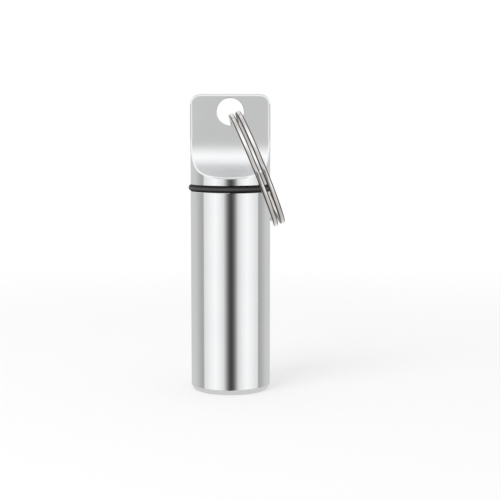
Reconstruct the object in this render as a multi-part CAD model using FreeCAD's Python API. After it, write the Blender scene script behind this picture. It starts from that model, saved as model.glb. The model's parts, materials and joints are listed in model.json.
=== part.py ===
import FreeCAD, Part
import math
import os

from FreeCAD import Vector

# Pill fob for a key ring, in millimetres: a tube, a screw cap, a sealing ring and a split ring.
# The origin is the centre of the base, +Z runs up the tube and the tab's faces look along -Y and +Y.

# Tube
FOB_DIAMETER = 16.2
TUBE_HEIGHT = 40.6
TUBE_WALL = 2.0
TUBE_FLOOR = 2.0
FLOOR_ROUND = 0.8
BASE_CHAMFER_HEIGHT = 0.95
BASE_CHAMFER_ANGLE = math.radians(30)
BASE_EDGE_ROUND = 0.6
RIM_ROUND = 0.12

# Sealing ring, squeezed between the cap's shoulder and the tube's rim
SEAL_CORD = 1.47
SEAL_SQUEEZE = 0.17
SEAL_CLEARANCE = 0.05

# Cap, from its shoulder up
CAP_HEIGHT = 18.1
CAP_CORNER_RADIUS = 2.0
SHOULDER_WIDTH = 1.25
CAP_BAND = 1.75
TAB_THICKNESS = 3.0
SCALLOP_RADIUS = 8.4
TAB_EDGE_ROUND = 0.5
EYE_DIAMETER = 5.5
EYE_WEB = 0.75
EYE_CHAMFER = 0.12

# Spigot and thread, right-handed with 60 degree flanks
THREAD_PITCH = 1.0
THREAD_LENGTH = 4.8
THREAD_CREST_PER_PITCH = 0.125
THREAD_ROOT_PER_PITCH = 0.167
FLANK_ANGLE = math.radians(30)
NECK_STEP = 0.15
NECK_INSERT = 0.4
RELIEF_DEPTH = 0.15
CREST_CLEARANCE = 0.12
FLANK_CLEARANCE = 0.08
MOUTH_CLEARANCE = 0.15

# Split ring: one flattened wire in two coils, with a jog where it crosses from one to the other
RING_DIAMETER = 24.5
WIRE_WIDTH = 1.5
WIRE_THICKNESS = 1.02
WIRE_FLAT = 0.25
COIL_GAP = 0.47
JOG_ANGLE = 255.0
JOG_SPAN = 30.0
END_SPACING = 3.0
RING_OFFSET = 0.6
RING_YAW = math.radians(3.2)
EYE_CLEARANCE = 0.1
RING_TUBE_CLEARANCE = 0.25

# Radii and heights that follow
FOB_RADIUS = FOB_DIAMETER / 2
BASE_RADIUS = FOB_RADIUS - BASE_CHAMFER_HEIGHT * math.tan(BASE_CHAMFER_ANGLE)
SEAL_HEIGHT = SEAL_CORD - SEAL_SQUEEZE
SHOULDER_HEIGHT = TUBE_HEIGHT + SEAL_HEIGHT
TOP_HEIGHT = SHOULDER_HEIGHT + CAP_HEIGHT
EYE_RADIUS = EYE_DIAMETER / 2
EYE_HEIGHT = TOP_HEIGHT - EYE_WEB - EYE_RADIUS
TAB_HALF = TAB_THICKNESS / 2
SCALLOP_SHORT = max(TAB_HALF + SCALLOP_RADIUS - FOB_RADIUS, 0)
SCALLOP_DROP = math.sqrt(SCALLOP_RADIUS ** 2 - SCALLOP_SHORT ** 2)
FLAT_BOTTOM = SHOULDER_HEIGHT + CAP_BAND + SCALLOP_DROP

NECK_RADIUS = FOB_RADIUS - SHOULDER_WIDTH
THREAD_RADIUS = NECK_RADIUS - NECK_STEP
CREST_HALF = THREAD_CREST_PER_PITCH * THREAD_PITCH / 2
ROOT_HALF = THREAD_ROOT_PER_PITCH * THREAD_PITCH / 2
CUTTER_OVERRUN = CREST_HALF / 2
FLANK_SLOPE = math.tan(FLANK_ANGLE)
GROOVE_HALF = THREAD_PITCH / 2 - CREST_HALF
ROOT_RADIUS = THREAD_RADIUS - (GROOVE_HALF - ROOT_HALF) / FLANK_SLOPE
RELIEF_LENGTH = THREAD_PITCH
NECK_END = TUBE_HEIGHT - NECK_INSERT
THREAD_START = NECK_END - RELIEF_LENGTH
SPIGOT_END = THREAD_START - THREAD_LENGTH

WIRE_ROUND = (WIRE_THICKNESS - WIRE_FLAT) / 2
COIL_STEP = WIRE_THICKNESS + COIL_GAP
STACK_HALF = COIL_STEP / 2 + WIRE_THICKNESS / 2
RING_INNER_RADIUS = RING_DIAMETER / 2 - WIRE_WIDTH
RING_MEAN_RADIUS = RING_DIAMETER / 2 - WIRE_WIDTH / 2
WIRE_ROLL = COIL_STEP / RING_MEAN_RADIUS / 2
ROLLED_HALF = (WIRE_WIDTH / 2 - WIRE_ROUND) * math.sin(WIRE_ROLL) + WIRE_FLAT / 2 + WIRE_ROUND

UP = Vector(0, 0, 1)
FRONT = Vector(0, -1, 0)
ON_SURFACE = 0.001
EDGE_SAMPLES = 5
GAP_SAMPLES = 360


def section_point(radius, height):
    return Vector(radius, 0, height)


def lines(points):
    return [Part.LineSegment(a, b).toShape() for a, b in zip(points, points[1:])]


def corner_arc(center, radius, start_degrees, end_degrees):
    """Arc in the XZ plane between two angles measured from +X towards +Z."""
    angles = (start_degrees, (start_degrees + end_degrees) / 2, end_degrees)
    spokes = [section_point(math.cos(math.radians(a)), math.sin(math.radians(a))) for a in angles]
    return Part.Arc(*[center + spoke * radius for spoke in spokes]).toShape()


def turned(edges):
    """Solid turned about Z from the edges of a closed half section."""
    face = Part.Face(Part.Wire(Part.__sortEdges__(edges)))
    return face.revolve(Vector(), UP, 360)


def thread_cutter(half_section, radius, start_height, end_height):
    """Groove cutter: a half section of radius and height pairs, swept up a right-hand helix."""
    helix = Part.makeLongHelix(THREAD_PITCH, end_height - start_height, radius, 0)
    helix.translate(UP * start_height)
    lower = [section_point(r, start_height - half) for r, half in half_section]
    upper = [section_point(r, start_height + half) for r, half in reversed(half_section)]
    profile = Part.Wire(lines(lower + upper + lower[:1]))
    return Part.Wire(helix.Edges).makePipeShell([profile], True, True)


def make_tube():
    """Tube with its cavity, mouth, thread run-out groove and female thread."""
    bore = ROOT_RADIUS + CREST_CLEARANCE
    groove = THREAD_RADIUS + CREST_CLEARANCE
    cavity = FOB_RADIUS - TUBE_WALL
    relief = groove + RELIEF_DEPTH
    relief_top = SPIGOT_END - THREAD_PITCH
    relief_bottom = relief_top - RELIEF_LENGTH
    mouth = NECK_RADIUS + MOUTH_CLEARANCE
    mouth_floor = NECK_END - MOUTH_CLEARANCE
    floor_center = section_point(cavity - FLOOR_ROUND, TUBE_FLOOR + FLOOR_ROUND)

    edge_center = section_point(
        FOB_RADIUS - BASE_EDGE_ROUND,
        BASE_CHAMFER_HEIGHT + BASE_EDGE_ROUND * math.tan(BASE_CHAMFER_ANGLE / 2))
    chamfer_top = edge_center + section_point(
        BASE_EDGE_ROUND * math.cos(BASE_CHAMFER_ANGLE), -BASE_EDGE_ROUND * math.sin(BASE_CHAMFER_ANGLE))
    rim_center = section_point(FOB_RADIUS - RIM_ROUND, TUBE_HEIGHT - RIM_ROUND)

    base = lines([section_point(0, TUBE_FLOOR), section_point(0, 0), section_point(BASE_RADIUS, 0), chamfer_top])
    side = lines([section_point(FOB_RADIUS, edge_center.z), section_point(FOB_RADIUS, rim_center.z)])
    inside = lines([
        section_point(rim_center.x, TUBE_HEIGHT),
        section_point(mouth, TUBE_HEIGHT),
        section_point(mouth, mouth_floor),
        section_point(groove, mouth_floor),
        section_point(bore, mouth_floor - (groove - bore)),
        section_point(bore, relief_top),
        section_point(relief, relief_top),
        section_point(relief, relief_bottom),
        section_point(cavity, relief_bottom),
        section_point(cavity, TUBE_FLOOR + FLOOR_ROUND),
    ])
    floor = lines([section_point(cavity - FLOOR_ROUND, TUBE_FLOOR), section_point(0, TUBE_FLOOR)])
    rounds = [
        corner_arc(edge_center, BASE_EDGE_ROUND, 0, -math.degrees(BASE_CHAMFER_ANGLE)),
        corner_arc(rim_center, RIM_ROUND, 0, 90),
        corner_arc(floor_center, FLOOR_ROUND, 0, -90),
    ]
    tube = turned(base + side + inside + floor + rounds)

    crest_room = CREST_HALF + FLANK_CLEARANCE
    opening = crest_room + (THREAD_RADIUS - bore) * FLANK_SLOPE
    half_section = [
        (bore - CUTTER_OVERRUN, opening + CUTTER_OVERRUN * FLANK_SLOPE),
        (groove, crest_room - CREST_CLEARANCE * FLANK_SLOPE),
    ]
    start = SPIGOT_END - THREAD_PITCH - RELIEF_LENGTH / 2
    return tube.cut(thread_cutter(half_section, bore, start, TUBE_HEIGHT + THREAD_PITCH))


def make_seal_ring():
    """Rubber ring whose round cord is squeezed flat above and below, at the same section area."""
    squeezed_area = math.pi / 4 * (SEAL_CORD ** 2 - SEAL_HEIGHT ** 2)
    flat_width = squeezed_area / SEAL_HEIGHT
    bulge = SEAL_HEIGHT / 2
    middle = TUBE_HEIGHT + bulge
    inner = section_point(NECK_RADIUS + SEAL_CLEARANCE + bulge, middle)
    outer = inner + section_point(flat_width, 0)
    rise = section_point(0, bulge)
    flats = lines([inner + rise, outer + rise]) + lines([inner - rise, outer - rise])
    bulges = [corner_arc(inner, bulge, 90, 270), corner_arc(outer, bulge, -90, 90)]
    return turned(flats + bulges)


def cap_blank():
    """Cap and spigot as turned, before the thread, the tab and the eye are cut."""
    corner = section_point(FOB_RADIUS - CAP_CORNER_RADIUS, TOP_HEIGHT - CAP_CORNER_RADIUS)
    rim_center = section_point(FOB_RADIUS - RIM_ROUND, SHOULDER_HEIGHT + RIM_ROUND)
    relief = ROOT_RADIUS - RELIEF_DEPTH
    spigot = lines([
        section_point(0, SPIGOT_END),
        section_point(relief, SPIGOT_END),
        section_point(THREAD_RADIUS, SPIGOT_END + THREAD_RADIUS - relief),
        section_point(THREAD_RADIUS, THREAD_START),
        section_point(relief, THREAD_START),
        section_point(relief, NECK_END),
        section_point(NECK_RADIUS, NECK_END),
        section_point(NECK_RADIUS, SHOULDER_HEIGHT),
        section_point(rim_center.x, SHOULDER_HEIGHT),
    ])
    side = lines([section_point(FOB_RADIUS, rim_center.z), section_point(FOB_RADIUS, corner.z)])
    top = lines([section_point(corner.x, TOP_HEIGHT), section_point(0, TOP_HEIGHT), section_point(0, SPIGOT_END)])
    rounds = [corner_arc(rim_center, RIM_ROUND, -90, 0), corner_arc(corner, CAP_CORNER_RADIUS, 0, 90)]
    return turned(spigot + side + top + rounds)


def tab_cutter(side):
    """What the milling cutter takes off one side: a flat that runs out in a quarter-round scallop."""
    diagonal = SCALLOP_RADIUS * math.sin(math.radians(45))
    arc_end = TAB_HALF + SCALLOP_RADIUS
    low = FLAT_BOTTOM - SCALLOP_RADIUS
    far = arc_end + FOB_DIAMETER
    above = TOP_HEIGHT + FOB_DIAMETER

    def point(y, z):
        return Vector(-FOB_DIAMETER, side * y, z)

    straight = [
        point(TAB_HALF, FLAT_BOTTOM),
        point(TAB_HALF, above),
        point(far, above),
        point(far, low),
        point(arc_end, low),
    ]
    scallop = Part.Arc(straight[-1], point(arc_end - diagonal, FLAT_BOTTOM - diagonal), straight[0])
    face = Part.Face(Part.Wire(lines(straight) + [scallop.toShape()]))
    return face.extrude(Vector(2 * FOB_DIAMETER, 0, 0))


def milled_depth(height):
    """Distance of the milled surface from the tab's middle plane at a height."""
    below = max(FLAT_BOTTOM - height, 0)
    return TAB_HALF + SCALLOP_RADIUS - math.sqrt(max(SCALLOP_RADIUS ** 2 - below ** 2, 0))


def is_milled_edge(edge):
    """True for an edge between a milled face and the turned outside of the cap."""
    points = edge.discretize(Number=EDGE_SAMPLES)
    on_milled = all(abs(abs(p.y) - milled_depth(p.z)) < ON_SURFACE for p in points)
    across_flat = all(abs(p.z - FLAT_BOTTOM) < ON_SURFACE for p in points)
    return on_milled and not across_flat


def make_screw_cap():
    """Cap with its male thread, milled tab with rounded edges, and chamfered eye."""
    cap = cap_blank()
    half_section = [
        (ROOT_RADIUS, ROOT_HALF),
        (THREAD_RADIUS + CUTTER_OVERRUN, GROOVE_HALF + CUTTER_OVERRUN * FLANK_SLOPE),
    ]
    run_out = THREAD_START + RELIEF_LENGTH / 2
    cap = cap.cut(thread_cutter(half_section, THREAD_RADIUS, SPIGOT_END - THREAD_PITCH, run_out))
    cap = cap.cut(tab_cutter(1)).cut(tab_cutter(-1))
    cap = cap.makeFillet(TAB_EDGE_ROUND, [edge for edge in cap.Edges if is_milled_edge(edge)])
    return cap.cut(eye_cutter())


def eye_cutter():
    """Drill for the eye, with a countersink at each face of the tab."""
    drill = Part.makeCylinder(EYE_RADIUS, FOB_DIAMETER, Vector(0, FOB_RADIUS, EYE_HEIGHT), FRONT)
    for side in (1, -1):
        face = Vector(0, side * TAB_HALF, EYE_HEIGHT)
        inward = Vector(0, -side, 0)
        sink = Part.makeCone(EYE_RADIUS + EYE_CHAMFER, EYE_RADIUS, EYE_CHAMFER, face, inward)
        drill = drill.fuse(sink)
    return drill


def ring_hang():
    """Distance from the eye's axis to the ring's centre, with the wire low in the eye."""
    corner_offset = RING_OFFSET + STACK_HALF - WIRE_ROUND + TAB_HALF * math.sin(RING_YAW)
    room = EYE_RADIUS - EYE_CLEARANCE - WIRE_ROUND
    sag = RING_INNER_RADIUS - math.sqrt(RING_INNER_RADIUS ** 2 - TAB_HALF ** 2)
    corner_hang = math.sqrt(room ** 2 - corner_offset ** 2) - sag
    return corner_hang + WIRE_ROUND + RING_INNER_RADIUS


def lean_to_tube(offset):
    """Lean of the ring, in radians, at which its low inner corner just clears the tube's side."""
    along = ring_hang() + RING_INNER_RADIUS + WIRE_ROUND
    across = offset - STACK_HALF + WIRE_ROUND
    stand = FOB_RADIUS + RING_TUBE_CLEARANCE + WIRE_ROUND
    return math.asin(stand / math.hypot(along, across)) - math.atan2(across, along)


RING_LEAN = lean_to_tube(RING_OFFSET)
RING_SWING = 2 * math.pi - RING_LEAN - lean_to_tube(-RING_OFFSET)
HANG_DIRECTION = Vector(math.sin(RING_LEAN), 0, -math.cos(RING_LEAN))
ACROSS_DIRECTION = Vector(math.cos(RING_LEAN), 0, math.sin(RING_LEAN))
RING_FRONT = FRONT * math.cos(RING_YAW) + ACROSS_DIRECTION * math.sin(RING_YAW)
RING_AXIS = ACROSS_DIRECTION * math.cos(RING_YAW) - FRONT * math.sin(RING_YAW)
RING_CENTER = Vector(0, 0, EYE_HEIGHT) + HANG_DIRECTION * ring_hang() + ACROSS_DIRECTION * RING_OFFSET


def ring_spoke(degrees):
    """Direction from the ring's centre, from 0 at the eye round by the front."""
    angle = math.radians(degrees)
    return HANG_DIRECTION * -math.cos(angle) + RING_FRONT * math.sin(angle)


def ring_point(degrees, layer):
    """Point of the wire's middle line, at layer -1 or 1, or 0 halfway along the jog."""
    return RING_CENTER + ring_spoke(degrees) * RING_MEAN_RADIUS + RING_AXIS * (layer * COIL_STEP / 2)


def tangent_arc(start, tangent, end):
    """Arc from start to end that leaves start along a unit tangent."""
    chord = end - start
    along = tangent.dot(chord) / chord.Length
    bulge = tangent - chord * (along / chord.Length)
    half_turn = math.acos(along) / 2
    middle = (start + end) / 2 + bulge.normalize() * (chord.Length / 2 * math.tan(half_turn))
    return Part.Arc(start, middle, end).toShape()


def biarc(start, start_tangent, end, end_tangent):
    """Two arcs that join two points smoothly, with equal arms."""
    chord = end - start
    sides = start_tangent + end_tangent
    bend = 2 * (1 - start_tangent.dot(end_tangent))
    reach = chord.dot(sides)
    arm = (math.sqrt(reach ** 2 + bend * chord.dot(chord)) - reach) / bend
    first_knee = start + start_tangent * arm
    last_knee = end - end_tangent * arm
    joint = (first_knee + last_knee) / 2
    joint_tangent = (last_knee - first_knee).normalize()
    return [tangent_arc(start, start_tangent, joint), tangent_arc(joint, joint_tangent, end)]


def coil_arcs(start_degrees, end_degrees, layer):
    """One flat coil, as four equal arcs of about a quarter turn."""
    quarter = (end_degrees - start_degrees) / 4
    edges = []
    for step in range(4):
        angles = [start_degrees + quarter * (step + share) for share in (0, 0.5, 1)]
        edges.append(Part.Arc(*[ring_point(angle, layer) for angle in angles]).toShape())
    return edges


def jog_arcs(middle_degrees):
    """S-bend that carries the wire from the first coil to the second."""
    before = middle_degrees - JOG_SPAN / 2
    after = middle_degrees + JOG_SPAN / 2
    start, middle, end = ring_point(before, -1), ring_point(middle_degrees, 0), ring_point(after, 1)
    start_tangent = ring_spoke(before + 90)
    end_tangent = ring_spoke(after + 90)
    half_length = RING_MEAN_RADIUS * math.radians(JOG_SPAN) / 2
    climb = 2 * math.atan(COIL_STEP / 2 / half_length)
    middle_tangent = ring_spoke(middle_degrees + 90) * math.cos(climb) + RING_AXIS * math.sin(climb)
    first = biarc(start, start_tangent, middle, middle_tangent)
    return first + biarc(middle, middle_tangent, end, end_tangent)


def wire_profile(degrees, layer):
    """Flattened wire section with rounded corners, rolled by half of what the jog's climb turns it."""
    center = ring_point(degrees, layer)
    width_way = ring_spoke(degrees) * math.cos(WIRE_ROLL) - RING_AXIS * math.sin(WIRE_ROLL)
    thick_way = RING_AXIS * math.cos(WIRE_ROLL) + ring_spoke(degrees) * math.sin(WIRE_ROLL)
    across = width_way * (WIRE_WIDTH / 2 - WIRE_ROUND)
    high = thick_way * (WIRE_FLAT / 2)
    core = [across + high, high - across, across * -1 - high, across - high, across + high]
    return Part.makePolygon([center + corner for corner in core]).makeOffset2D(WIRE_ROUND)


def make_split_ring():
    """Two-coil ring: one unbroken wire swept along both coils and the jog between them."""
    first_end = JOG_ANGLE + JOG_SPAN / 2 + END_SPACING
    jog_middle = JOG_ANGLE + 360
    second_end = jog_middle + 360 - JOG_SPAN / 2 - END_SPACING
    path = coil_arcs(first_end, jog_middle - JOG_SPAN / 2, -1)
    path += jog_arcs(jog_middle)
    path += coil_arcs(jog_middle + JOG_SPAN / 2, second_end, 1)
    spine = Part.Wire(path)
    ring = spine.makePipeShell([wire_profile(first_end, -1)], True, False)

    points = spine.discretize(Number=GAP_SAMPLES)
    half_coil = GAP_SAMPLES // 4
    pairs = [(a, b) for i, a in enumerate(points) for b in points[i + half_coil:]]
    least_gap = min(a.distanceToPoint(b) for a, b in pairs) - 2 * ROLLED_HALF
    section = WIRE_WIDTH * WIRE_THICKNESS - (4 - math.pi) * WIRE_ROUND ** 2
    print("split ring: least gap between coils %.3f mm" % least_gap)
    print("split ring: volume %.2f of %.2f mm3" % (ring.Volume, section * spine.Length))
    return ring


PIECES = {
    "tube": make_tube,
    "seal_ring": make_seal_ring,
    "screw_cap": make_screw_cap,
    "split_ring": make_split_ring,
}

os.makedirs("parts", exist_ok=True)
for name, make in PIECES.items():
    shape = make()
    print("%s: valid %s, %d solid, %.2f mm3" % (name, shape.isValid(), len(shape.Solids), shape.Volume))
    shape.exportStep("parts/%s.step" % name)

print("overall height %.2f mm" % TOP_HEIGHT)
print("ring lean %.3f degrees" % math.degrees(RING_LEAN))
print("ring swing %.3f degrees" % math.degrees(RING_SWING))
print("spigot depth in the tube %.3f mm" % (TUBE_HEIGHT - SPIGOT_END))
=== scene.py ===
import json
import math

import bpy
from mathutils import Matrix, Vector


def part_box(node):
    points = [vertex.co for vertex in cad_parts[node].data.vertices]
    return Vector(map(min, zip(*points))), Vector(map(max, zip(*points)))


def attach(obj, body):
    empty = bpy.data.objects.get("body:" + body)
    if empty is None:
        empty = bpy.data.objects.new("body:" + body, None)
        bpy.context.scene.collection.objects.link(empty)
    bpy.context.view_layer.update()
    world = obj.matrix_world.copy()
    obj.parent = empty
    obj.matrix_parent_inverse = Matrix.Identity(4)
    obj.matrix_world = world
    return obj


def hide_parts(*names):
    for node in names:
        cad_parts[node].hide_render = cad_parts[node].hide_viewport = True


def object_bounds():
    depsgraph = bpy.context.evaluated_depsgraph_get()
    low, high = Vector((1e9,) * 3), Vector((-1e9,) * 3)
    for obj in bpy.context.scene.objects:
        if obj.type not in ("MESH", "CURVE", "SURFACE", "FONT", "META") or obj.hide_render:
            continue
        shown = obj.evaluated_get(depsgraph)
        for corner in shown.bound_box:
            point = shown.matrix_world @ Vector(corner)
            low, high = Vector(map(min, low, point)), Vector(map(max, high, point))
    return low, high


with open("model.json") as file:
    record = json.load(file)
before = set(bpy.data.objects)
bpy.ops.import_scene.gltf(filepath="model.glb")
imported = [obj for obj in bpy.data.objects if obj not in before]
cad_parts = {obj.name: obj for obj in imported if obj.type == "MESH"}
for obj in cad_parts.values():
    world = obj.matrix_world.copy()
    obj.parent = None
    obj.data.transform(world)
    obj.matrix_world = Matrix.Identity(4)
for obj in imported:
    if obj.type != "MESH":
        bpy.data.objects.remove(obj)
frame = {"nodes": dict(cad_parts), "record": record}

cad_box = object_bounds()

MM = 0.001

# Sockets of a Mix node that mixes two colours, by number, because other sockets share their names
MIX_FROM = 6
MIX_TO = 7
MIXED = 2

# Camera, in millimetres, at the photograph's viewing angle
CAMERA_SIDE = 3.98
CAMERA_DISTANCE = 239.0
CAMERA_HEIGHT = 54.7
AIM_HEIGHT = 28.45
FIELD_WIDTH = 102.1
SENSOR_WIDTH = 36.0
NEAR_CLIP = 10.0

# Split ring, in millimetres and degrees: two coils of flattened wire with a jog between them
RING_DIAMETER = 24.5
WIRE_WIDTH = 1.5
WIRE_THICKNESS = 1.02
WIRE_CORNER = 0.385
COIL_GAP = 0.47
JOG_ANGLE = 255.0
JOG_SPAN = 30.0
END_SPACING = 3.0
SHARP_ANGLE = 50.0
RING_POINTS = 480
CORNER_POINTS = 8

# Sealing ring, in millimetres
SEAL_BORE_RADIUS = 6.9
SEAL_POINTS = 192
CORD_POINTS = 10

# Aluminium's finish: sizes in millimetres, with the run-out's heights counted from where the milling starts,
# the share of the tube's radius within which a face can be milled, and what each adds to the roughness
MILLED_ABOVE_SEAL = 0.5
MILLED_WITHIN = 0.985
TOOL_LINE = 0.16
TOOL_LINE_DEPTH = 0.002
RUN_OUT_TOP = 4.0
RUN_OUT_FULL = 2.2
BLOOM = 7.0
MILLED_ROUGH = 0.1
RUN_OUT_ROUGH = 0.25
BLOOM_ROUGH = 0.03

# Nickel's finish: sizes of the draw lines in millimetres, where the painted shade between the coils and the
# painted dark reflection along the edges start and where they are full, as shares of the wire's half
# thickness and half width, and how strong they are
DRAW_LINE = 0.1
DRAW_LINE_LENGTH = 9.0
DRAW_LINE_DEPTH = 0.004
GAP_SHADE_START = 0.45
GAP_SHADE_FULL = 0.95
GAP_SHADE_ROUGH = 0.3
EDGE_REFLECTION_START = 0.46
EDGE_REFLECTION_FULL = 0.63
EDGE_REFLECTION_MOST = 0.96

# Rubber's finish: sizes in millimetres, the grain's part beside the crest's painted highlight, and the
# seam's rise as a share of the grain's
RUBBER_GRAIN = 0.25
RUBBER_RELIEF = 0.02
MOULD_SEAM_WIDTH = 0.12
CREST_HALF_WIDTH = 0.42
GRAIN_PART = 0.3
SEAM_RISE = 0.8

# Light tent round the object, in millimetres and degrees: a wide round wall with a tray below it, a screen
# with a dark strip in front of the object, an arch over both, and the paper under the object's foot. Angles
# from straight ahead are seen from the focus, which lies in front of the axis, and start at the tent's aim
TENT_FOCUS = -4.05
TENT_AIM = 2.6
TENT_STEPS = 720
HALF_TURN = 180.0
WALL_RADIUS = 200.0
WALL_TOP = 64.0
TRAY_HEIGHT = -75.0
SCREEN_RADIUS = 60.0
SCREEN_HALF_TURN = 18.0
SCREEN_BOTTOM = -18.0
STRIP_TOP = 43.0
STRIP_GONE = 44.0
SCREEN_TOP = 60.0
ARCH_RADIUS = 62.0
ARCH_HEIGHT = 47.0
ARCH_START = 10
ARCH_END = 180
ARCH_HALF_WIDTH = 60.0

# Brightness of the tent: by degrees from straight ahead for the wall, the strip, the screen above the strip
# and the tray's rings, by degrees from level for the arch, by radius for the foot's paper
WALL = [(0, .60), (18, .60), (22, .76), (33, .93), (46, 1.04), (60, .96), (79, .81), (84, .79), (85, .41),
        (94, .43), (101, .475), (111, .55), (122, .62), (160, .64), (172, .96), (180, 1.0)]
STRIP = [(0, .05), (6, .105), (10, .21), (13, .32), (17, .52), (22, .76)]
SCREEN_LOW = [(0, .65), (14, .65), (22, .78)]
SCREEN_HIGH = [(0, .58), (14, .58), (22, .76)]
ARCH = [(8, .585), (11, .58), (17, .59), (24, .61), (32, .69), (39, .84), (47, .97), (54, 1.06), (58, 1.07),
        (63, 1.05), (72, .94), (82, .80), (92, .67), (100, .64), (108, .64), (130, .86), (145, .86),
        (170, .62), (180, .60)]
FOOT_PAPER = [(6.5, .64), (9.5, .66)]
TRAY_MIDDLE = [(0, .50), (180, .50)]
TRAY_SHADE = [(0, .05), (6, .105), (10, .21), (13, .32), (17, .50), (22, .58), (70, .62), (84, .62),
              (86, .45), (101, .47), (122, .54), (155, .58), (170, .84), (180, .88)]
TRAY_EDGE = [(0, .06), (6, .12), (10, .24), (13, .36), (17, .55), (22, .68), (70, .74), (84, .74),
             (86, .46), (101, .50), (122, .60), (155, .64), (170, .90), (180, .94)]

# The screen's rows by height, and the tray's rings by radius
SCREEN = [(SCREEN_BOTTOM, STRIP), (STRIP_TOP, STRIP), (STRIP_GONE, SCREEN_LOW), (SCREEN_TOP, SCREEN_HIGH)]
TRAY = [(0.1, TRAY_MIDDLE), (62, TRAY_MIDDLE), (86, TRAY_SHADE), (120, TRAY_SHADE), (165, TRAY_EDGE),
        (200, TRAY_EDGE)]

# Floor and lamp, in millimetres and watts, the share of plain white in the floor below the object, and the
# brightness of the sky that lights the object
FLOOR_HALF_WIDTH = 900.0
FLOOR_FADE_START = 60.0
FLOOR_FADE_END = 220.0
FLOOR_GLOW = 0.4
LAMP_PLACE = (-200.0, -250.0, 400.0)
LAMP_SIZE = 250.0
LAMP_POWER = 0.7
SKY_LEVEL = 0.8


def linear(hex_colour):
    """Linear RGBA of an sRGB hex colour."""
    tones = [int(hex_colour[start:start + 2], 16) / 255 for start in (1, 3, 5)]
    return [tone / 12.92 if tone <= 0.04045 else ((tone + 0.055) / 1.055) ** 2.4 for tone in tones] + [1]


def add_node(tree, kind, inputs=None, **settings):
    """Adds a node, makes its settings, and sets its inputs to values or links them to other nodes' sockets.
    A node that is given for an input stands for its first output."""
    node = tree.nodes.new(kind)
    for name, value in settings.items():
        setattr(node, name, value)
    for name, value in (inputs or {}).items():
        if isinstance(value, bpy.types.Node):
            value = value.outputs[0]
        if isinstance(value, bpy.types.NodeSocket):
            tree.links.new(value, node.inputs[name])
        else:
            node.inputs[name].default_value = value
    return node


def new_object(name, data):
    """Object in the scene that holds the data."""
    piece = bpy.data.objects.new(name, data)
    bpy.context.scene.collection.objects.link(piece)
    return piece


def new_material(name):
    """Empty node material and its tree."""
    material = bpy.data.materials.new(name)
    material.use_nodes = True
    material.node_tree.nodes.clear()
    return material, material.node_tree


def place_camera():
    """Camera in front of the object, raised a little, that looks down to the aim's height."""
    aim = Vector((CAMERA_SIDE, 0, AIM_HEIGHT)) * MM
    place = Vector((CAMERA_SIDE, -CAMERA_DISTANCE, CAMERA_HEIGHT)) * MM
    data = bpy.data.cameras.new("camera")
    data.sensor_width = SENSOR_WIDTH
    data.lens = SENSOR_WIDTH * (aim - place).length / (FIELD_WIDTH * MM)
    data.clip_start = NEAR_CLIP * MM
    camera = new_object("camera", data)
    camera.location = place
    camera.rotation_euler = (aim - place).to_track_quat("-Z", "Y").to_euler()
    bpy.context.scene.camera = camera


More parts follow.
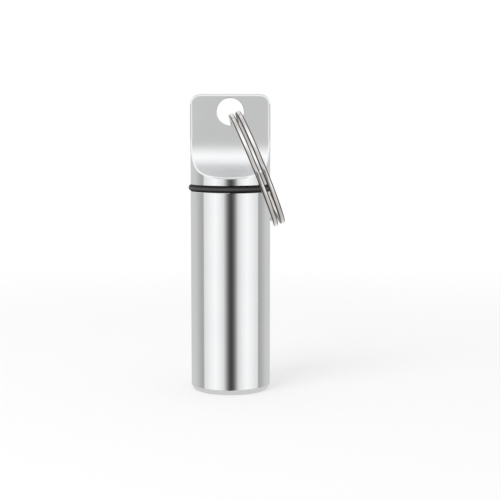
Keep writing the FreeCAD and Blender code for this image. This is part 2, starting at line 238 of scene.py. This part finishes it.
def machined_aluminium(name, milled_from):
    """Aluminium, turned, milled and polished: a bright grey near-mirror. Fine tool lines run round the
    turned sides and across the milled faces, so reflections stay crisp around the part and are drawn out up
    and down it. Faces above the height milled_from, and within a share of the tube's radius, are milled."""
    material, tree = new_material(name)
    milled_radius = MILLED_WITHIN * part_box("tube")[1].x
    place = add_node(tree, "ShaderNodeTexCoord").outputs["Object"]
    axis = add_node(tree, "ShaderNodeSeparateXYZ", {0: place}).outputs
    flat_place = add_node(tree, "ShaderNodeCombineXYZ", {"X": axis["X"], "Y": axis["Y"]})
    radius = add_node(tree, "ShaderNodeVectorMath", {0: flat_place}, operation="LENGTH").outputs["Value"]
    inside = add_node(tree, "ShaderNodeMath", {0: radius, 1: milled_radius}, operation="LESS_THAN")
    above = add_node(tree, "ShaderNodeMath", {0: axis["Z"], 1: milled_from}, operation="GREATER_THAN")
    milled = add_node(tree, "ShaderNodeMath", {0: inside, 1: above}, operation="MULTIPLY")
    turned = add_node(tree, "ShaderNodeMath", {0: 1.0, 1: milled}, operation="SUBTRACT")
    feed = add_node(tree, "ShaderNodeMath", {0: radius, 1: turned, 2: axis["Z"]}, operation="MULTIPLY_ADD")
    # Real tool lines lie about 0.05 mm apart; they are drawn coarser so that they show
    lines = add_node(tree, "ShaderNodeTexNoise", {
        "W": feed, "Scale": 1 / (TOOL_LINE * MM), "Detail": 3.0, "Roughness": 0.6}, noise_dimensions="1D")
    bloom = add_node(tree, "ShaderNodeTexNoise", {"Vector": place, "Scale": 1 / (BLOOM * MM), "Detail": 4.0})
    # Where the cutter leaves the metal, at the foot of the scoop, the surface is rougher, and its colour is
    # darkened as painted shade
    low_end = add_node(tree, "ShaderNodeMapRange", {
        "Value": axis["Z"], "From Min": milled_from + RUN_OUT_TOP * MM,
        "From Max": milled_from + RUN_OUT_FULL * MM}, interpolation_type="SMOOTHSTEP")
    run_out_and_painted_shade = add_node(tree, "ShaderNodeMath", {0: milled, 1: low_end}, operation="MULTIPLY")
    bright = add_node(tree, "ShaderNodeMix", {
        "Factor": bloom, MIX_FROM: linear("#F8F8F9"), MIX_TO: linear("#F0F1F2")}, data_type="RGBA")
    # Painted shade: the run-out's colour is a darker grey
    colour = add_node(tree, "ShaderNodeMix", {
        "Factor": run_out_and_painted_shade, MIX_FROM: bright.outputs[MIXED], MIX_TO: linear("#E2E3E4")}, data_type="RGBA")
    rough = add_node(tree, "ShaderNodeMapRange", {"Value": lines, "To Min": 0.05, "To Max": 0.09})
    for share, added in ((milled, MILLED_ROUGH), (run_out_and_painted_shade, RUN_OUT_ROUGH), (bloom, BLOOM_ROUGH)):
        rough = add_node(tree, "ShaderNodeMath", {0: share, 1: added, 2: rough}, operation="MULTIPLY_ADD")
    bump = add_node(tree, "ShaderNodeBump", {
        "Strength": 0.3, "Distance": TOOL_LINE_DEPTH * MM, "Height": lines})
    round_way = add_node(tree, "ShaderNodeTangent", direction_type="RADIAL", axis="Z")
    shader = add_node(tree, "ShaderNodeBsdfPrincipled", {
        "Base Color": colour.outputs[MIXED], "Metallic": 1.0, "Roughness": rough, "Anisotropic": 0.5,
        "Anisotropic Rotation": 0.25, "Tangent": round_way, "Normal": bump})
    add_node(tree, "ShaderNodeOutputMaterial", {"Surface": shader})
    return material


def plated_nickel():
    """Spring steel with bright nickel plate: a warm mirror with faint lengthwise draw lines. The wire's
    rounded edges are darkened as painted dark reflection, and the coils' faces towards each other are
    darkened and made rougher as painted shade."""
    material, tree = new_material("nickel_plated_spring_steel")
    along, layer, side, across = [
        add_node(tree, "ShaderNodeAttribute", attribute_name=name).outputs["Fac"]
        for name in ("along", "layer", "side", "across")]
    facing = add_node(tree, "ShaderNodeMath", {0: layer, 1: side}, operation="MULTIPLY")
    # Painted shade: the coils' faces towards each other are darkened, and made rougher, where the gap shades
    # them
    painted_gap_shade = add_node(tree, "ShaderNodeMapRange", {
        "Value": facing, "From Min": GAP_SHADE_START, "From Max": GAP_SHADE_FULL}, interpolation_type="SMOOTHSTEP")
    side_out, across_out = [
        add_node(tree, "ShaderNodeMath", {0: share}, operation="ABSOLUTE") for share in (side, across)]
    corner = add_node(tree, "ShaderNodeMath", {0: side_out, 1: across_out}, operation="MINIMUM")
    # Painted reflection: the wire's rounded edges are darkened as if they mirrored dark surroundings
    painted_edge_reflection = add_node(tree, "ShaderNodeMapRange", {
        "Value": corner, "From Min": EDGE_REFLECTION_START, "From Max": EDGE_REFLECTION_FULL, "To Max": EDGE_REFLECTION_MOST},
        interpolation_type="SMOOTHSTEP")
    dark = add_node(tree, "ShaderNodeMath", {0: painted_gap_shade, 1: painted_edge_reflection}, operation="MAXIMUM")
    # Real draw lines lie about 0.02 mm apart; they are drawn coarser so that they show
    wire_length = 2 * math.pi * (RING_DIAMETER - WIRE_WIDTH)
    streak_place = add_node(tree, "ShaderNodeCombineXYZ", {
        axis: add_node(tree, "ShaderNodeMath", {0: share, 1: size / line}, operation="MULTIPLY")
        for axis, share, size, line in (("X", along, wire_length, DRAW_LINE_LENGTH),
                                        ("Y", side, WIRE_THICKNESS / 2, DRAW_LINE),
                                        ("Z", across, WIRE_WIDTH / 2, DRAW_LINE))})
    streaks = add_node(tree, "ShaderNodeTexNoise", {"Vector": streak_place, "Scale": 1.0, "Detail": 4.0})
    # The dark colour is painted shade between the coils and painted dark reflection along the wire's edges
    colour = add_node(tree, "ShaderNodeMix", {
        "Factor": dark, MIX_FROM: linear("#FBF7F4"), MIX_TO: linear("#1A1817")}, data_type="RGBA")
    plate_rough = add_node(tree, "ShaderNodeMapRange", {"Value": streaks, "To Min": 0.02, "To Max": 0.12})
    rough = add_node(tree, "ShaderNodeMath", {
        0: painted_gap_shade, 1: GAP_SHADE_ROUGH, 2: plate_rough}, operation="MULTIPLY_ADD")
    bump = add_node(tree, "ShaderNodeBump", {
        "Strength": 0.15, "Distance": DRAW_LINE_DEPTH * MM, "Height": streaks})
    shader = add_node(tree, "ShaderNodeBsdfPrincipled", {
        "Base Color": colour.outputs[MIXED], "Metallic": 1.0, "Roughness": rough, "Normal": bump})
    add_node(tree, "ShaderNodeOutputMaterial", {"Surface": shader})
    return material


def moulded_rubber(middle):
    """Nitrile rubber, moulded: matt black with a fine grain and a mould seam round its outside, smoother
    along its crest, which lies at the height middle, where a paler colour is a painted highlight."""
    material, tree = new_material("moulded_nitrile_rubber")
    place = add_node(tree, "ShaderNodeTexCoord").outputs["Object"]
    height = add_node(tree, "ShaderNodeSeparateXYZ", {0: place}).outputs["Z"]
    # Real grain is about 0.05 mm; it is drawn coarser so that it shows
    grain = add_node(tree, "ShaderNodeTexNoise", {
        "Vector": place, "Scale": 1 / (RUBBER_GRAIN * MM), "Detail": 2.0})
    off = add_node(tree, "ShaderNodeMath", {0: height, 1: middle}, operation="SUBTRACT")
    away = add_node(tree, "ShaderNodeMath", {0: off}, operation="ABSOLUTE")
    seam, crest_highlight = [
        add_node(tree, "ShaderNodeMapRange", {
            "Value": away, "From Min": reach * MM, "From Max": 0.0}, interpolation_type="SMOOTHSTEP")
        for reach in (MOULD_SEAM_WIDTH / 2, CREST_HALF_WIDTH)]
    # The crest's paler colour is a painted highlight; the grain adds random tone, and both make the rubber
    # smoother
    grain_and_crest_highlight = add_node(tree, "ShaderNodeMath", {0: grain, 1: GRAIN_PART, 2: crest_highlight}, operation="MULTIPLY_ADD")
    colour = add_node(tree, "ShaderNodeMix", {
        "Factor": grain_and_crest_highlight, MIX_FROM: linear("#030303"), MIX_TO: linear("#505051")}, data_type="RGBA")
    rough = add_node(tree, "ShaderNodeMapRange", {"Value": grain_and_crest_highlight, "To Min": 0.5, "To Max": 0.34})
    relief = add_node(tree, "ShaderNodeMath", {0: seam, 1: SEAM_RISE, 2: grain}, operation="MULTIPLY_ADD")
    bump = add_node(tree, "ShaderNodeBump", {
        "Strength": 0.25, "Distance": RUBBER_RELIEF * MM, "Height": relief})
    shader = add_node(tree, "ShaderNodeBsdfPrincipled", {
        "Base Color": colour.outputs[MIXED], "Roughness": rough, "Specular IOR Level": 0.06,
        "Normal": bump})
    add_node(tree, "ShaderNodeOutputMaterial", {"Surface": shader})
    return material


def node_group(name, inputs):
    """Empty Geometry Nodes tree with named inputs and one geometry output, and the sockets of its inputs."""
    tree = bpy.data.node_groups.new(name, "GeometryNodeTree")
    for label, kind in inputs.items():
        tree.interface.new_socket(label, in_out="INPUT", socket_type="NodeSocket" + kind)
    tree.interface.new_socket("Geometry", in_out="OUTPUT", socket_type="NodeSocketGeometry")
    return tree, add_node(tree, "NodeGroupInput").outputs


def end_group(tree, geometry, material):
    """Ends a tree in smooth, real geometry with its material."""
    smooth = add_node(tree, "GeometryNodeSetShadeSmooth", {"Geometry": geometry})
    real = add_node(tree, "GeometryNodeRealizeInstances", {"Geometry": smooth})
    dressed = add_node(tree, "GeometryNodeSetMaterial", {"Geometry": real, "Material": material})
    add_node(tree, "NodeGroupOutput", {0: dressed})


def baked(name, tree, values):
    """Plain mesh object that a Geometry Nodes tree makes from the given input values."""
    maker = new_object(name + "_maker", bpy.data.meshes.new(name + "_maker"))
    modifier = maker.modifiers.new("nodes", "NODES")
    modifier.node_group = tree
    for item in tree.interface.items_tree:
        if item.in_out == "INPUT":
            modifier[item.identifier] = values[item.name]
    depsgraph = bpy.context.evaluated_depsgraph_get()
    mesh = bpy.data.meshes.new_from_object(maker.evaluated_get(depsgraph))
    mesh.name = name
    bpy.data.objects.remove(maker)
    return new_object(name, mesh)


def wound_wire_tree():
    """Wire wound in two flat coils about the local Z axis, with an S-bend from one to the other. It keeps
    each point's place along the wire, and from -1 to 1 its coil and its place across the wire's thickness
    and width."""
    tree, size = node_group("wound_wire", {
        "Mean Radius": "Float", "Coil Step": "Float", "Start Angle": "Float", "End Angle": "Float",
        "Jog Start": "Float", "Jog End": "Float", "Wire Width": "Float", "Wire Thickness": "Float",
        "Wire Corner": "Float", "Points": "Int", "Corner Points": "Int", "Material": "Material"})
    line = add_node(tree, "GeometryNodeCurvePrimitiveLine", {"End": (0, 0, 1)})
    points = add_node(tree, "GeometryNodeResampleCurve", {"Curve": line, "Count": size["Points"]})
    along = add_node(tree, "GeometryNodeSplineParameter").outputs["Factor"]
    marked = add_node(tree, "GeometryNodeStoreNamedAttribute", {
        "Geometry": points, "Name": "along", "Value": along})
    angle = add_node(tree, "ShaderNodeMapRange", {
        "Value": along, "To Min": size["Start Angle"], "To Max": size["End Angle"]})
    layer = add_node(tree, "ShaderNodeMapRange", {
        "Value": angle, "From Min": size["Jog Start"], "From Max": size["Jog End"], "To Min": -1.0},
        interpolation_type="SMOOTHSTEP")
    half_step = add_node(tree, "ShaderNodeMath", {0: size["Coil Step"], 1: 0.5}, operation="MULTIPLY")
    cosine, sine = [
        add_node(tree, "ShaderNodeMath", {0: angle}, operation=turn) for turn in ("COSINE", "SINE")]
    place = add_node(tree, "ShaderNodeCombineXYZ", {
        axis: add_node(tree, "ShaderNodeMath", {0: reach, 1: share}, operation="MULTIPLY")
        for axis, reach, share in (("X", size["Mean Radius"], cosine), ("Y", size["Mean Radius"], sine),
                                   ("Z", half_step, layer))})
    path = add_node(tree, "GeometryNodeSetPosition", {"Geometry": marked, "Position": place})
    # Read on the path for its coil, and on the section for the place across the wire
    spot = add_node(tree, "ShaderNodeSeparateXYZ", {0: add_node(tree, "GeometryNodeInputPosition")}).outputs
    coil = add_node(tree, "ShaderNodeMath", {0: spot["Z"], 1: half_step}, operation="DIVIDE")
    path = add_node(tree, "GeometryNodeStoreNamedAttribute", {
        "Geometry": path, "Name": "layer", "Value": coil})
    path = add_node(tree, "GeometryNodeSetCurveNormal", {"Curve": path}, mode="Z_UP")
    blank = add_node(tree, "GeometryNodeCurvePrimitiveQuadrilateral", {
        "Width": size["Wire Width"], "Height": size["Wire Thickness"]})
    section = add_node(tree, "GeometryNodeFilletCurve", {
        "Curve": blank, "Count": size["Corner Points"], "Radius": size["Wire Corner"]}, mode="POLY")
    for name, axis, whole in (("side", "Y", "Wire Thickness"), ("across", "X", "Wire Width")):
        half = add_node(tree, "ShaderNodeMath", {0: size[whole], 1: 0.5}, operation="MULTIPLY")
        share = add_node(tree, "ShaderNodeMath", {0: spot[axis], 1: half}, operation="DIVIDE")
        section = add_node(tree, "GeometryNodeStoreNamedAttribute", {
            "Geometry": section, "Name": name, "Value": share})
    wire = add_node(tree, "GeometryNodeCurveToMesh", {
        "Curve": path, "Profile Curve": section, "Fill Caps": True})
    end_group(tree, wire, size["Material"])
    return tree


def squeezed_ring_tree():
    """Ring about Z of a round cord that is squeezed flat above and below."""
    tree, size = node_group("squeezed_ring", {
        "Middle Radius": "Float", "Width": "Float", "Height": "Float", "Middle Height": "Float",
        "Points": "Int", "Cord Points": "Int", "Material": "Material"})
    circle = add_node(tree, "GeometryNodeCurvePrimitiveCircle", {
        "Resolution": size["Points"], "Radius": size["Middle Radius"]})
    lift = add_node(tree, "ShaderNodeCombineXYZ", {"Z": size["Middle Height"]})
    path = add_node(tree, "GeometryNodeSetPosition", {"Geometry": circle, "Offset": lift})
    path = add_node(tree, "GeometryNodeSetCurveNormal", {"Curve": path}, mode="Z_UP")
    blank = add_node(tree, "GeometryNodeCurvePrimitiveQuadrilateral", {
        "Width": size["Width"], "Height": size["Height"]})
    section = add_node(tree, "GeometryNodeFilletCurve", {
        "Curve": blank, "Count": size["Cord Points"], "Radius": size["Height"], "Limit Radius": True},
        mode="POLY")
    cord = add_node(tree, "GeometryNodeCurveToMesh", {"Curve": path, "Profile Curve": section})
    end_group(tree, cord, size["Material"])
    return tree


def make_split_ring():
    """Split ring through the eye, placed by its mount, which lies on the ring's side away from the eye."""
    mount = next(mount for mount in frame["record"]["mounts"] if mount["name"] == "key_ring")
    axis = Vector(mount["axis"]).normalized()
    to_eye = Vector((-axis.z, 0, axis.x)).normalized()
    front = axis.cross(to_eye)
    center = Vector(mount["pos_m"]) + to_eye * (RING_DIAMETER / 2 - WIRE_WIDTH) * MM
    turn = 2 * math.pi
    jog = math.radians(JOG_ANGLE)
    half_span = math.radians(JOG_SPAN / 2)
    end = half_span + math.radians(END_SPACING)
    ring = baked("wound_split_ring", wound_wire_tree(), {
        "Mean Radius": (RING_DIAMETER - WIRE_WIDTH) / 2 * MM,
        "Coil Step": (WIRE_THICKNESS + COIL_GAP) * MM,
        "Start Angle": jog + end,
        "End Angle": jog + 2 * turn - end,
        "Jog Start": jog + turn - half_span,
        "Jog End": jog + turn + half_span,
        "Wire Width": WIRE_WIDTH * MM,
        "Wire Thickness": WIRE_THICKNESS * MM,
        "Wire Corner": WIRE_CORNER * MM,
        "Points": RING_POINTS,
        "Corner Points": CORNER_POINTS,
        "Material": plated_nickel(),
    })
    ring.data.transform(Matrix.Translation(center) @ Matrix((to_eye, front, axis)).transposed().to_4x4())
    ring.data.set_sharp_from_angle(angle=math.radians(SHARP_ANGLE))
    # The ring is kept out of the metal's reflections, which are as even as the photograph's
    ring.visible_glossy = False
    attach(ring, "split_ring")
    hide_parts("split_ring")


def make_seal_ring():
    """Sealing ring in the place of its CAD node."""
    low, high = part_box("seal_ring")
    middle = (low.z + high.z) / 2
    bore_radius = SEAL_BORE_RADIUS * MM
    ring = baked("squeezed_seal_ring", squeezed_ring_tree(), {
        "Middle Radius": (high.x + bore_radius) / 2,
        "Width": high.x - bore_radius,
        "Height": high.z - low.z,
        "Middle Height": middle,
        "Points": SEAL_POINTS,
        "Cord Points": CORD_POINTS,
        "Material": moulded_rubber(middle),
    })
    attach(ring, "seal_ring")
    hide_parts("seal_ring")


def finish_cad_node(node, material):
    """Gives a CAD node its finish."""
    mesh = frame["nodes"][node].data
    mesh.materials.clear()
    mesh.materials.append(material)


def seen_rays(tree):
    """Node that is 1 for rays from the camera and for those that metal or glass sends on."""
    path = add_node(tree, "ShaderNodeLightPath").outputs
    seen = path["Is Camera Ray"]
    for kind in ("Is Glossy Ray", "Is Transmission Ray"):
        seen = add_node(tree, "ShaderNodeMath", {0: seen, 1: path[kind]}, operation="MAXIMUM")
    return seen


def make_world():
    """Sky that is white where it is seen and lights the object at a plain level."""
    world = bpy.data.worlds.new("studio")
    world.use_nodes = True
    bpy.context.scene.world = world
    tree = world.node_tree
    tree.nodes.clear()
    level = add_node(tree, "ShaderNodeMapRange", {"Value": seen_rays(tree), "To Min": SKY_LEVEL})
    sky = add_node(tree, "ShaderNodeBackground", {"Color": linear("#FFFFFF"), "Strength": level})
    add_node(tree, "ShaderNodeOutputWorld", {"Surface": sky})


def level_at(angle, table):
    """Brightness at an angle, from a table of angles and brightnesses."""
    for (start, low), (end, high) in zip(table, table[1:]):
        if angle <= end:
            return low + (high - low) * (angle - start) / (end - start)
    return table[-1][1]


def card_paper():
    """Lit paper and cloth: each point keeps its own brightness."""
    material, tree = new_material("lit_paper")
    level = add_node(tree, "ShaderNodeAttribute", attribute_name="level").outputs["Fac"]
    glow = add_node(tree, "ShaderNodeEmission", {"Strength": level})
    add_node(tree, "ShaderNodeOutputMaterial", {"Surface": glow})
    return material


def make_card(name, rows, material):
    """Card that only reflections show, from rows of points in millimetres, each with its brightness."""
    columns = len(rows[0])
    places, levels = zip(*(point for row in rows for point in row))
    starts = [row * columns + column for row in range(len(rows) - 1) for column in range(columns - 1)]
    faces = [(start, start + 1, start + columns + 1, start + columns) for start in starts]
    mesh = bpy.data.meshes.new(name)
    mesh.from_pydata([Vector(place) * MM for place in places], [], faces)
    mesh.attributes.new("level", "FLOAT", "POINT").data.foreach_set("value", levels)
    mesh.materials.append(material)
    card = new_object(name, mesh)
    card.visible_camera = False
    card.visible_diffuse = False
    card.visible_shadow = False
    card.visible_transmission = False


def round_points(radius, height, half_turn=HALF_TURN):
    """Points round the axis, as far to the left of straight ahead as to the right."""
    turns = [math.radians(half_turn * step / TENT_STEPS) for step in range(-TENT_STEPS, TENT_STEPS + 1)]
    return [(radius * math.sin(turn), -radius * math.cos(turn), height) for turn in turns]


def tent_row(points, brightness):
    """Points with their brightness, which goes by the angle from straight ahead."""
    row = []
    for x, y, z in points:
        ahead = math.degrees(math.atan2(x, TENT_FOCUS - y))
        off = abs((ahead - TENT_AIM + HALF_TURN) % (2 * HALF_TURN) - HALF_TURN)
        row.append(((x, y, z), level_at(off, brightness)))
    return row


def make_tent():
    """Cards that the metal mirrors."""
    arch = []
    for angle in range(ARCH_START, ARCH_END + 1):
        turn = math.radians(angle)
        y = -ARCH_RADIUS * math.cos(turn)
        z = ARCH_HEIGHT + ARCH_RADIUS * math.sin(turn)
        arch.append([((x, y, z), level_at(angle, ARCH)) for x in (-ARCH_HALF_WIDTH, ARCH_HALF_WIDTH)])
    cards = {
        "tent_wall": [tent_row(round_points(WALL_RADIUS, height), WALL)
                      for height in (TRAY_HEIGHT, WALL_TOP)],
        "tent_screen": [tent_row(round_points(SCREEN_RADIUS, height, SCREEN_HALF_TURN), brightness)
                        for height, brightness in SCREEN],
        "tent_arch": arch,
        "tent_tray": [tent_row(round_points(radius, TRAY_HEIGHT), brightness)
                      for radius, brightness in TRAY],
        "foot_paper": [[(point, level) for point in round_points(radius, 0)]
                       for radius, level in FOOT_PAPER],
    }
    paper = card_paper()
    for name, rows in cards.items():
        make_card(name, rows, paper)


def make_floor():
    """White paper that keeps the object's shadow and fades into the white behind it."""
    mesh = bpy.data.meshes.new("floor")
    corners = ((-1, -1, 0), (1, -1, 0), (1, 1, 0), (-1, 1, 0))
    mesh.from_pydata([Vector(corner) * FLOOR_HALF_WIDTH * MM for corner in corners], [], [(0, 1, 2, 3)])
    material, tree = new_material("white_paper")
    paper = add_node(tree, "ShaderNodeBsdfDiffuse", {"Color": linear("#FBFBFB")})
    white = add_node(tree, "ShaderNodeEmission", {"Color": linear("#FFFFFF")})
    place = add_node(tree, "ShaderNodeTexCoord").outputs["Object"]
    reach = add_node(tree, "ShaderNodeVectorMath", {0: place}, operation="LENGTH").outputs["Value"]
    fade = add_node(tree, "ShaderNodeMapRange", {
        "Value": reach, "From Min": FLOOR_FADE_START * MM, "From Max": FLOOR_FADE_END * MM,
        "To Min": FLOOR_GLOW}, interpolation_type="SMOOTHSTEP")
    share = add_node(tree, "ShaderNodeMath", {0: fade, 1: seen_rays(tree)}, operation="MULTIPLY")
    mix = add_node(tree, "ShaderNodeMixShader", {0: share, 1: paper, 2: white})
    add_node(tree, "ShaderNodeOutputMaterial", {"Surface": mix})
    mesh.materials.append(material)
    floor = new_object("floor", mesh)
    # Reflections show the tent's tray and the foot's paper in the floor's place
    floor.visible_glossy = False


def make_lamp():
    """Soft box in front of the object, above it and to its left, which isn't mirrored."""
    data = bpy.data.lights.new("soft_box", "AREA")
    data.energy = LAMP_POWER
    data.size = LAMP_SIZE * MM
    lamp = new_object("soft_box", data)
    lamp.location = Vector(LAMP_PLACE) * MM
    aim = Vector((0, 0, AIM_HEIGHT)) * MM
    lamp.rotation_euler = (aim - lamp.location).to_track_quat("-Z", "Y").to_euler()
    lamp.visible_glossy = False


bpy.context.scene.view_settings.view_transform = "Standard"
place_camera()
make_world()
make_floor()
make_tent()
make_lamp()

# None of the tube is milled, so its milling would start at the top of the whole part
part_top = cad_box[1].z
scoop_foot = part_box("seal_ring")[1].z + MILLED_ABOVE_SEAL * MM
finish_cad_node("tube", machined_aluminium("turned_polished_aluminium", part_top))
finish_cad_node("screw_cap", machined_aluminium("turned_and_milled_aluminium", scoop_foot))
make_seal_ring()
make_split_ring()
